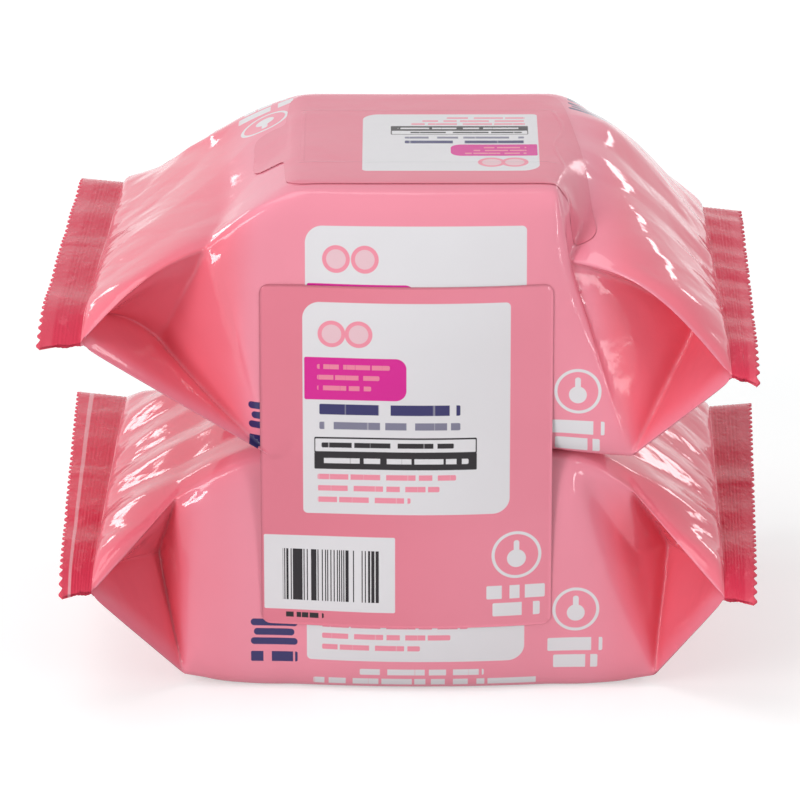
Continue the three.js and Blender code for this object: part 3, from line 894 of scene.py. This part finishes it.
class Paint:
    """A material while it is put together."""

    def __init__(self, name):
        self.material = bpy.data.materials.new(name)
        self.material.use_nodes = True
        self.tree = self.material.node_tree
        self.shader = self.tree.nodes["Principled BSDF"]

    def feed(self, socket, value):
        if isinstance(value, Value):
            self.tree.links.new(value.socket, socket)
        else:
            socket.default_value = value

    def node(self, kind, settings=None, inputs=None, output=0):
        made = self.tree.nodes.new(kind)
        for key, value in (settings or {}).items():
            setattr(made, key, value)
        for key, value in (inputs or {}).items():
            self.feed(made.inputs[key], value)
        return Value(self, made.outputs[output])

    def finish(self, **sockets):
        for key, value in sockets.items():
            self.feed(self.shader.inputs[key.replace("_", " ")], value)
        return self.material

    def attribute(self, name, output="Fac"):
        return self.node("ShaderNodeAttribute", {"attribute_name": name}, output=output)

    def parts(self, vector):
        made = self.node("ShaderNodeSeparateXYZ", inputs={0: vector})
        outputs = made.socket.node.outputs
        return tuple(Value(self, outputs[k]) for k in range(3))

    def colours(self, first, second, share):
        made = self.node("ShaderNodeMix", {"data_type": "RGBA"}, {"Factor": share}, output=2)
        inputs = made.socket.node.inputs
        self.feed(inputs[6], first)
        self.feed(inputs[7], second)
        return made

    def noise(self, vector, scale, detail=2.0, roughness=0.5):
        inputs = {"Vector": vector, "Scale": scale, "Detail": detail, "Roughness": roughness}
        return self.node("ShaderNodeTexNoise", inputs=inputs)

    def flat(self, across, up, out=0.0):
        """A place on a flat face, from two of its distances, and a third where it is needed."""
        return self.node("ShaderNodeCombineXYZ", inputs={0: across, 1: up, 2: out})

    def plate(self, spot, left, right, low, high, corner=0.6, soft=0.12):
        """1 inside a rectangle with rounded corners, in millimetres."""
        middle = ((left + right) / 2, (low + high) / 2, 0)
        half = ((right - left) / 2 - corner, (high - low) / 2 - corner, 0)
        outside = spot.vector("SUBTRACT", middle).vector("ABSOLUTE").vector("SUBTRACT", half)
        off = outside.vector("MAXIMUM", (0, 0, 0)).vector("LENGTH", output=1)
        return off.rise(corner + soft, corner - soft)

    def disc(self, spot, middle, radius, soft=0.12):
        off = spot.vector("SUBTRACT", (*middle, 0)).vector("LENGTH", output=1)
        return off.rise(radius + soft, radius - soft)

    def words(self, spot, left, right, low, high, length=3.2, start=0.0):
        """A line of print: short bars of uneven lengths instead of letters."""
        across = self.parts(spot)[0]
        steps = self.node("ShaderNodeTexNoise", {"noise_dimensions": "1D"},
                          {"W": across * (1 / length) + start, "Scale": 1.0, "Detail": 1.0})
        return self.plate(spot, left, right, low, high, min(0.5, (high - low) / 3)) * steps.rise(0.40, 0.43)

    def bump(self, height, distance):
        return self.node("ShaderNodeBump", inputs={"Height": height, "Distance": distance})


PINK = (0.83, 0.27, 0.355, 1)
# Deeper reds for the folded sides: partly film with no wipes behind it, partly painted shade; the deepest
# is painted shade near the seals
UNBACKED_SHADED_PINK = (0.85, 0.185, 0.245, 1)
FOLD_SHADE_PINK = (0.80, 0.06, 0.10, 1)
SEAL_PINK = (0.66, 0.045, 0.09, 1)
SEAL_EDGE = (0.74, 0.11, 0.16, 1)
STEP_GLINT = (0.80, 0.42, 0.46, 1)
LABEL_PINK = (0.73, 0.195, 0.265, 1)
WHITE = (0.72, 0.705, 0.73, 1)
NAVY = (0.035, 0.03, 0.13, 1)
MAGENTA = (0.66, 0.012, 0.28, 1)
BLACK = (0.018, 0.014, 0.018, 1)

# Where the main print block lies on the top: left, right, low and high, with the top seen from behind
TOP_PANEL = (-37.4, 19, -22, 34)
MARK_RADIUS = 4.4
MARK_LINE = 1.3
RING_LINE = 1.0
PILE_WIDE = 15
PILE_BAR = 2.4

# Sets of creases: their turn, their fineness along and across themselves, and their strength
CREASES = ((0.45, 0.018, 0.045, 1.0), (-0.6, 0.022, 0.060, 0.8), (1.2, 0.04, 0.07, 0.4))


def panel_print(paint, spot, colour, left, right, low, high):
    """The main print block: a white field with a magenta band, navy title bars and lines of small print.

    Everything in it is placed by its share of the way across and up.
    """
    wide = right - left
    tall = high - low

    def box(first, last, bottom, top, corner):
        sides = (left + first * wide, left + last * wide, low + bottom * tall, low + top * tall)
        return paint.plate(spot, *sides, corner)

    def words(first, last, bottom, top, length, start):
        sides = (left + first * wide, left + last * wide, low + bottom * tall, low + top * tall)
        return paint.words(spot, *sides, length, start)

    field = box(0, 1, 0, 1, 5.5).largest(box(0, 0.5, 0, 0.5, 1.5)).largest(box(0.5, 1, 0.5, 1, 1.5))
    colour = paint.colours(colour, WHITE, field)
    band = box(0.008, 0.50, 0.545, 0.745, 3.5).largest(box(0.008, 0.25, 0.545, 0.745, 0.6))
    colour = paint.colours(colour, MAGENTA, band)
    for bottom, last, start in ((0.69, 0.42, 3.1), (0.64, 0.37, 8.4), (0.59, 0.33, 14.2)):
        colour = paint.colours(colour, PINK, words(0.07, last, bottom, bottom + 0.022, 2.2, start) * 0.85)
    discs = []
    for radius in (MARK_RADIUS, MARK_RADIUS - MARK_LINE):
        height = low + 0.855 * tall
        first, second = (paint.disc(spot, (left + share * wide, height), radius) for share in (0.14, 0.27))
        discs.append(first.largest(second))
    colour = paint.colours(colour, PINK, discs[0] - discs[1] * 0.55)
    title = words(0.08, 0.76, 0.475, 0.525, 5.6, 1.7)
    title = title.largest(words(0.08, 0.76, 0.405, 0.440, 4.4, 6.3) * 0.75)
    colour = paint.colours(colour, NAVY, title)
    outline = box(0.055, 0.84, 0.292, 0.368, 0.5) - box(0.06, 0.834, 0.300, 0.36, 0.3)
    colour = paint.colours(colour, BLACK, outline.largest(box(0.055, 0.84, 0.215, 0.296, 0.4)))
    colour = paint.colours(colour, BLACK, words(0.09, 0.73, 0.318, 0.342, 3.4, 2.2))
    colour = paint.colours(colour, WHITE, words(0.09, 0.80, 0.243, 0.268, 3.4, 9.1))
    for bottom, last, start in ((0.165, 0.74, 4.0), (0.11, 0.66, 7.7), (0.055, 0.52, 5.3)):
        colour = paint.colours(colour, PINK, words(0.07, last, bottom, bottom + 0.026, 2.8, start))
    return colour


def ring_print(paint, spot, colour, x, y, radius):
    """A white ring round a drop, over two lines of bars."""
    ring = paint.disc(spot, (x, y), radius) - paint.disc(spot, (x, y), radius - RING_LINE)
    drop = paint.disc(spot, (x, y - 1.2), radius * 0.38)
    tip = paint.plate(spot, x - 0.9, x + 0.9, y, y + radius * 0.62, 0.8)
    under = y - radius
    upper_bars = paint.words(spot, x - radius * 1.2, x + radius * 1.15, under - 7.0, under - 2.4, 5.0, x)
    lower_bars = paint.words(spot, x - radius * 0.95, x + radius * 0.95, under - 13.0, under - 8.4, 5.0, y)
    mark = ring.largest(drop).largest(tip).largest(upper_bars).largest(lower_bars)
    return paint.colours(colour, WHITE, mark)


def pile_print(paint, spot, colour, left, low):
    """A navy pile of three rounded bars over a short line."""
    mark = paint.words(spot, left, left + PILE_WIDE, low, low + 3.6, 4.0, left)
    for rise, shorter in ((6.0, 0), (9.3, 1), (12.6, 0)):
        sides = (left + shorter, left + PILE_WIDE - shorter, low + rise, low + rise + PILE_BAR)
        mark = mark.largest(paint.plate(spot, *sides, 1.1))
    return paint.colours(colour, NAVY, mark)


def crinkles(paint, x, y):
    """Sharp uneven creases, most of them running out towards the seals."""
    total = 0
    for turn, along_fine, across_fine, strength in CREASES:
        outward_run = x.size() * math.cos(turn) + y * math.sin(turn)
        cross_run = y * math.cos(turn) - x.size() * math.sin(turn)
        spot = paint.flat(outward_run * along_fine, cross_run * across_fine, turn * 9)
        crease = (paint.noise(spot, 1.0, 3) - 0.5).size()
        total = crease * strength + total
    return total * 2


def front_prints(paint, spot, colour):
    colour = panel_print(paint, spot, colour, -37, 33, 11.5, 83.5)
    colour = ring_print(paint, spot, colour, 49.5, 28.6, 7.5)
    colour = pile_print(paint, spot, colour, -55, 10.3)
    for left, right, low, high, start in ((-20, 20, 6.3, 8.6, 3.0), (-35, 38, 2.4, 4.8, 12.0)):
        colour = paint.colours(colour, WHITE, paint.words(spot, left, right, low, high, 3.6, start))
    return colour


def back_prints(paint, spot, colour):
    colour = ring_print(paint, spot, colour, 47, 60, 8.0)
    colour = pile_print(paint, spot, colour, -52, 48)
    for low, right in ((66, 22), (60, 26), (54, 19), (42, 24), (36, 27), (30, 12)):
        colour = paint.colours(colour, WHITE, paint.words(spot, -28, right, low, low + 2.6, 3.4, low))
    return colour


def top_prints(paint, spot, colour):
    colour = panel_print(paint, spot, colour, *TOP_PANEL)
    colour = ring_print(paint, spot, colour, 51, -30, 7.5)
    return pile_print(paint, spot, colour, -63, -47)


def film_material(name, lift):
    """Glossy printed film; lift is how far up the front this pouch's print sits."""
    paint = Paint(name)
    place = paint.attribute("place", "Vector")
    x, y, z = paint.parts(place)
    off_wipes = paint.attribute("hollow")
    uneven = paint.noise(place, 0.02, 3)
    # Painted shade: the film turns a deeper red off the wipes in the folded sides, partly film with no
    # white wipes behind it and partly painted shade of the folds; nearest the seals it deepens further,
    # which is painted shade alone
    share = (off_wipes + (uneven - 0.5) * 0.2).rise(0.1, 1)
    colour = paint.colours(PINK, UNBACKED_SHADED_PINK, share)
    colour = paint.colours(colour, FOLD_SHADE_PINK, share * x.size().rise(60, 85) * 0.3)
    front = front_prints(paint, paint.flat(x, z - lift), colour)
    colour = paint.colours(colour, front, y.rise(-38, -42))
    back = back_prints(paint, paint.flat(x * -1, z - lift), colour)
    colour = paint.colours(colour, back, y.rise(38, 42))
    top = top_prints(paint, paint.flat(x * -1, y * -1), colour)
    colour = paint.colours(colour, top, z.rise(60, 64) * (1 - off_wipes).rise(0.2, 0.6))
    height = paint.noise(place, 0.35, 2) * 0.06 + paint.noise(place, 0.05, 2) * 0.9
    beside_seal = paint.attribute("crinkled")
    height = height + crinkles(paint, x, y) * (beside_seal * 1.3 + off_wipes * 0.12)
    normal = paint.bump(height, 0.0006)
    gloss = uneven * 0.05 + 0.055
    return paint.finish(Base_Color=colour, Roughness=gloss, Specular_IOR_Level=0.35, Normal=normal)


def seal_material(name, glint_share):
    """The film of the end seals, two layers pressed together: deeper in colour, with fine pressed marks."""
    paint = Paint(name)
    place = paint.attribute("place", "Vector")
    x, y, _ = paint.parts(place)
    band = paint.attribute("band")
    marks = paint.noise(paint.flat(band * 4, y * 0.16, x * 0.01), 1.0, 4, 0.6)
    # Painted sheen: lighter patches where the crinkled seal film catches light; the same patches are also a
    # little rougher
    crinkle_sheen = marks.rise(0.52, 0.72)
    smooth_edge = band.rise(CRIMPED_SHARE - 0.02, CRIMPED_SHARE + 0.06)
    colour = paint.colours(SEAL_PINK, SEAL_EDGE, (crinkle_sheen * 0.6 + smooth_edge * 0.5).smallest(1))
    # Painted reflection: a pale line along the step between the crimped band and the smooth edge, on the
    # left seal only, where the glint share is 1
    line = band.rise(0.66, 0.69) * band.rise(0.78, 0.75) * x.rise(10, -10) * glint_share
    colour = paint.colours(colour, STEP_GLINT, line * 0.8)
    lines = (band * 70).maths("SINE") * (1 - smooth_edge)
    height = marks * 0.7 + lines * 0.04 + paint.noise(place, 0.25, 2) * 0.2
    normal = paint.bump(height, 0.0007)
    gloss = crinkle_sheen * 0.12 + 0.2
    return paint.finish(Base_Color=colour, Roughness=gloss, Specular_IOR_Level=0.1, Normal=normal)


def code_print(paint, spot, colour, left, right, low, high):
    """A white field of upright black bars."""
    across = paint.parts(spot)[0]
    colour = paint.colours(colour, WHITE, paint.plate(spot, left, right, low, high, 0.5))
    steps = paint.node("ShaderNodeTexWhiteNoise", {"noise_dimensions": "1D"},
                       {"W": (across * 2.9).maths("FLOOR")})
    bars = steps.rise(0.5, 0.51) * paint.plate(spot, left + 6, right - 5, low + 3.4, high - 4.7, 0.1, 0.06)
    return paint.colours(colour, BLACK, bars)


def bundle_material(name):
    paint = Paint(name)
    place = paint.attribute("place", "Vector")
    x, _, z = paint.parts(place)
    uneven = paint.noise(place, 0.02, 3)
    front = paint.flat(x, z)
    # Painted shade: the label is darker towards its left side and lighter to the right, with a random
    # unevenness of tone besides
    colour = paint.colours(LABEL_PINK, PINK, (uneven - 0.5) * 0.5 + x.rise(-45, 40) * 0.7)
    colour = panel_print(paint, front, colour, -37.9, 28.0, 63.1, 134.7)
    colour = code_print(paint, front, colour, -50.6, -8.6, 29.3, 55.2)
    colour = ring_print(paint, front, colour, 30.3, 48.7, 8.0)
    note = paint.words(front, -44.6, -31.5, 26.6, 28.4, 1.6, 5.0)
    colour = paint.colours(colour, BLACK, note)
    height = paint.noise(place, 0.03, 2) + paint.noise(place, 0.4, 2) * 0.05
    normal = paint.bump(height, 0.0005)
    gloss = uneven * 0.06 + 0.13
    return paint.finish(Base_Color=colour, Roughness=gloss, Specular_IOR_Level=0.35, Normal=normal)


OPENING_LEFT, OPENING_RIGHT, OPENING_HALF = -38, 44, 26


def opening_line(x, y):
    """The pressed line of the opening under the label: a long oval with a wavy right end."""
    wave = (y * 0.16).maths("SINE") * 1.5
    inside = y.size().rise(OPENING_HALF, OPENING_HALF - 2)
    right = (x - OPENING_RIGHT - wave).size().rise(0.9, 0.2) * inside
    left = (x - OPENING_LEFT).size().rise(0.7, 0.2) * inside
    sides = (y.size() - OPENING_HALF).size().rise(0.7, 0.2) * (x - 2).size().rise(42, 40)
    return right.largest(sides).largest(left)


def reseal_material(name):
    paint = Paint(name)
    place = paint.attribute("place", "Vector")
    x, y, _ = paint.parts(place)
    uneven = paint.noise(place, 0.02, 3)
    over = paint.flat(x * -1, y * -1)
    colour = paint.colours(LABEL_PINK, PINK, uneven * 0.6)
    colour = panel_print(paint, over, colour, *TOP_PANEL)
    height = paint.noise(place, 0.06, 2) + opening_line(x, y) * 0.2
    normal = paint.bump(height, 0.0005)
    gloss = uneven * 0.06 + 0.13
    return paint.finish(Base_Color=colour, Roughness=gloss, Specular_IOR_Level=0.25, Normal=normal)


FLOOR_SIZE = 12
FLOOR_GREY = (0.42, 0.42, 0.42, 1)
FLOOR_PALE, FLOOR_PALEST = (0.86, 0.89, 0.89, 1), (0.88, 0.91, 0.91, 1)
FLOOR_GLOW = 1.6


def stage():
    """The floor: grey to the light that it sends on, pale to the eye and in reflections, white far off."""
    bpy.ops.mesh.primitive_plane_add(size=FLOOR_SIZE, location=(0, 0, 0))
    floor = bpy.context.object
    floor.name = "floor"
    paint = Paint("floor")
    rays = paint.node("ShaderNodeLightPath").socket.node.outputs
    plain = Value(paint, rays["Is Camera Ray"]).largest(Value(paint, rays["Is Glossy Ray"]))
    plain = plain.largest(Value(paint, rays["Is Transmission Ray"]))
    spot = paint.node("ShaderNodeTexCoord", output=3)
    pale = paint.colours(FLOOR_PALE, FLOOR_PALEST, paint.noise(spot, 4.0))
    paint.finish(Base_Color=paint.colours(FLOOR_GREY, pale, plain), Roughness=0.9)
    x, y, _ = paint.parts(spot)
    far = (x * x + y * y).rise(0.5, 3.0)
    glow = paint.node("ShaderNodeEmission", inputs={"Color": (1, 1, 1, 1), "Strength": FLOOR_GLOW})
    both = paint.node("ShaderNodeMixShader", inputs={0: plain * (far * 0.3 + 0.3)})
    paint.tree.links.new(paint.shader.outputs[0], both.socket.node.inputs[1])
    paint.tree.links.new(glow.socket, both.socket.node.inputs[2])
    output = next(node for node in paint.tree.nodes if node.type == "OUTPUT_MATERIAL")
    paint.tree.links.new(both.socket, output.inputs[0])
    floor.data.materials.append(paint.material)


def soft_box(name, spot, size, power, mirrored):
    """An area light; one that isn't mirrored lights the films without showing in their gloss."""
    data = bpy.data.lights.new(name, "AREA")
    data.shape = "RECTANGLE"
    data.size, data.size_y = size
    data.energy = power
    lamp = bpy.data.objects.new(name, data)
    lamp.location = spot
    lamp.rotation_euler = (Vector(LIGHT_TARGET) - Vector(spot)).to_track_quat("-Z", "Y").to_euler()
    lamp.visible_camera = False
    lamp.visible_glossy = mirrored
    bpy.context.scene.collection.objects.link(lamp)


WORLD_LIT, WORLD_SEEN = 0.30, 1.0
LIGHT_TARGET = (0, 0, 0.09)

# Soft boxes in metres and watts: where each stands, its size, its power, and whether the film mirrors it
SOFT_BOXES = {
    "top_box": ((-0.35, -0.2, 1.3), (0.9, 0.6), 5.0, True),
    "front_left_box": ((-0.9, -1.1, 0.75), (0.35, 0.9), 8.7, True),
    "front_right_box": ((0.95, -1.1, 0.65), (0.25, 0.9), 4.5, True),
    "back_fill": ((0.2, 1.4, 0.5), (1.0, 0.5), 6.0, False),
    "low_left_fill": ((-1.1, -0.9, 0.12), (0.4, 0.2), 1.8, False),
    "left_strip": ((-1.2, 0.15, 0.35), (0.14, 0.8), 2.4, True),
    "right_strip": ((1.2, 0.1, 0.40), (0.14, 0.8), 2.4, True),
    "back_left_window": ((-0.80, 1.2, 0.50), (0.34, 0.12), 0.75, True),
    "back_right_window": ((0.80, 1.2, 0.50), (0.26, 0.12), 0.6, True),
    "low_left_strip": ((-0.65, -1.2, 0.12), (0.10, 0.22), 1.5, True),
    "low_right_strip": ((0.7, -1.2, 0.12), (0.08, 0.22), 1.0, True),
}


def studio_world():
    """White to the eye and in reflections, while it lights the pack only a little."""
    world = bpy.data.worlds.new("studio")
    bpy.context.scene.world = world
    world.use_nodes = True
    tree = world.node_tree
    background = tree.nodes["Background"]
    background.inputs["Color"].default_value = (1, 1, 1, 1)
    rays = tree.nodes.new("ShaderNodeLightPath")
    seen = rays.outputs["Is Camera Ray"]
    for kind in ("Is Glossy Ray", "Is Transmission Ray"):
        both = tree.nodes.new("ShaderNodeMath")
        both.operation = "MAXIMUM"
        tree.links.new(seen, both.inputs[0])
        tree.links.new(rays.outputs[kind], both.inputs[1])
        seen = both.outputs[0]
    level = tree.nodes.new("ShaderNodeMapRange")
    tree.links.new(seen, level.inputs["Value"])
    level.inputs["To Min"].default_value = WORLD_LIT
    level.inputs["To Max"].default_value = WORLD_SEEN
    tree.links.new(level.outputs[0], background.inputs["Strength"])


def lights():
    studio_world()
    for name, box in SOFT_BOXES.items():
        soft_box(name, *box)


def camera():
    elevation = math.radians(CAMERA_ELEVATION)
    aim = Vector(CAMERA_AIM) * MM
    away = Vector((0, -math.cos(elevation), math.sin(elevation)))
    data = bpy.data.cameras.new("camera")
    data.lens = CAMERA_LENS
    data.sensor_width = 36
    data.shift_y = CAMERA_SHIFT
    data.clip_end = 20
    holder = bpy.data.objects.new("camera", data)
    holder.location = aim + away * CAMERA_DISTANCE * MM
    holder.rotation_euler = (-away).to_track_quat("-Z", "Y").to_euler()
    bpy.context.scene.collection.objects.link(holder)
    bpy.context.scene.camera = holder


bpy.context.scene.view_settings.view_transform = "Standard"
camera()
lights()
stage()
lower = pouch_piece(
    "lower_film", LOWER_LEFT, LOWER_RIGHT, LOWER_HEIGHT, LOWER_BASE, LOWER_SEED, LOWER_CEILING,
    "lower_pouch",
)
upper = pouch_piece(
    "upper_film", UPPER_LEFT, UPPER_RIGHT, UPPER_HEIGHT, UPPER_BASE, UPPER_SEED, UPPER_CEILING,
    "upper_pouch",
)
lower_label = reseal_label("lower_reseal", lower, LOWER_BASE, "lower_reseal_label")
upper_label = reseal_label("upper_reseal", upper, UPPER_BASE, "upper_reseal_label")
front_label = bundle_label("front_label", (lower, upper), "bundle_label")
lower.data.materials[FILM_FINISH] = film_material("lower_film", LOWER_LIFT)
# The lower pouch's left seal carries the painted reflection line on its step
lower.data.materials[SEAL_FINISH] = seal_material("lower_seal", 1.0)
upper.data.materials[FILM_FINISH] = film_material("upper_film", UPPER_LIFT)
upper.data.materials[SEAL_FINISH] = seal_material("upper_seal", 0.0)
reseal_finish = reseal_material("reseal_film")
lower_label.data.materials.append(reseal_finish)
upper_label.data.materials.append(reseal_finish)
front_label.data.materials.append(bundle_material("front_label_film"))
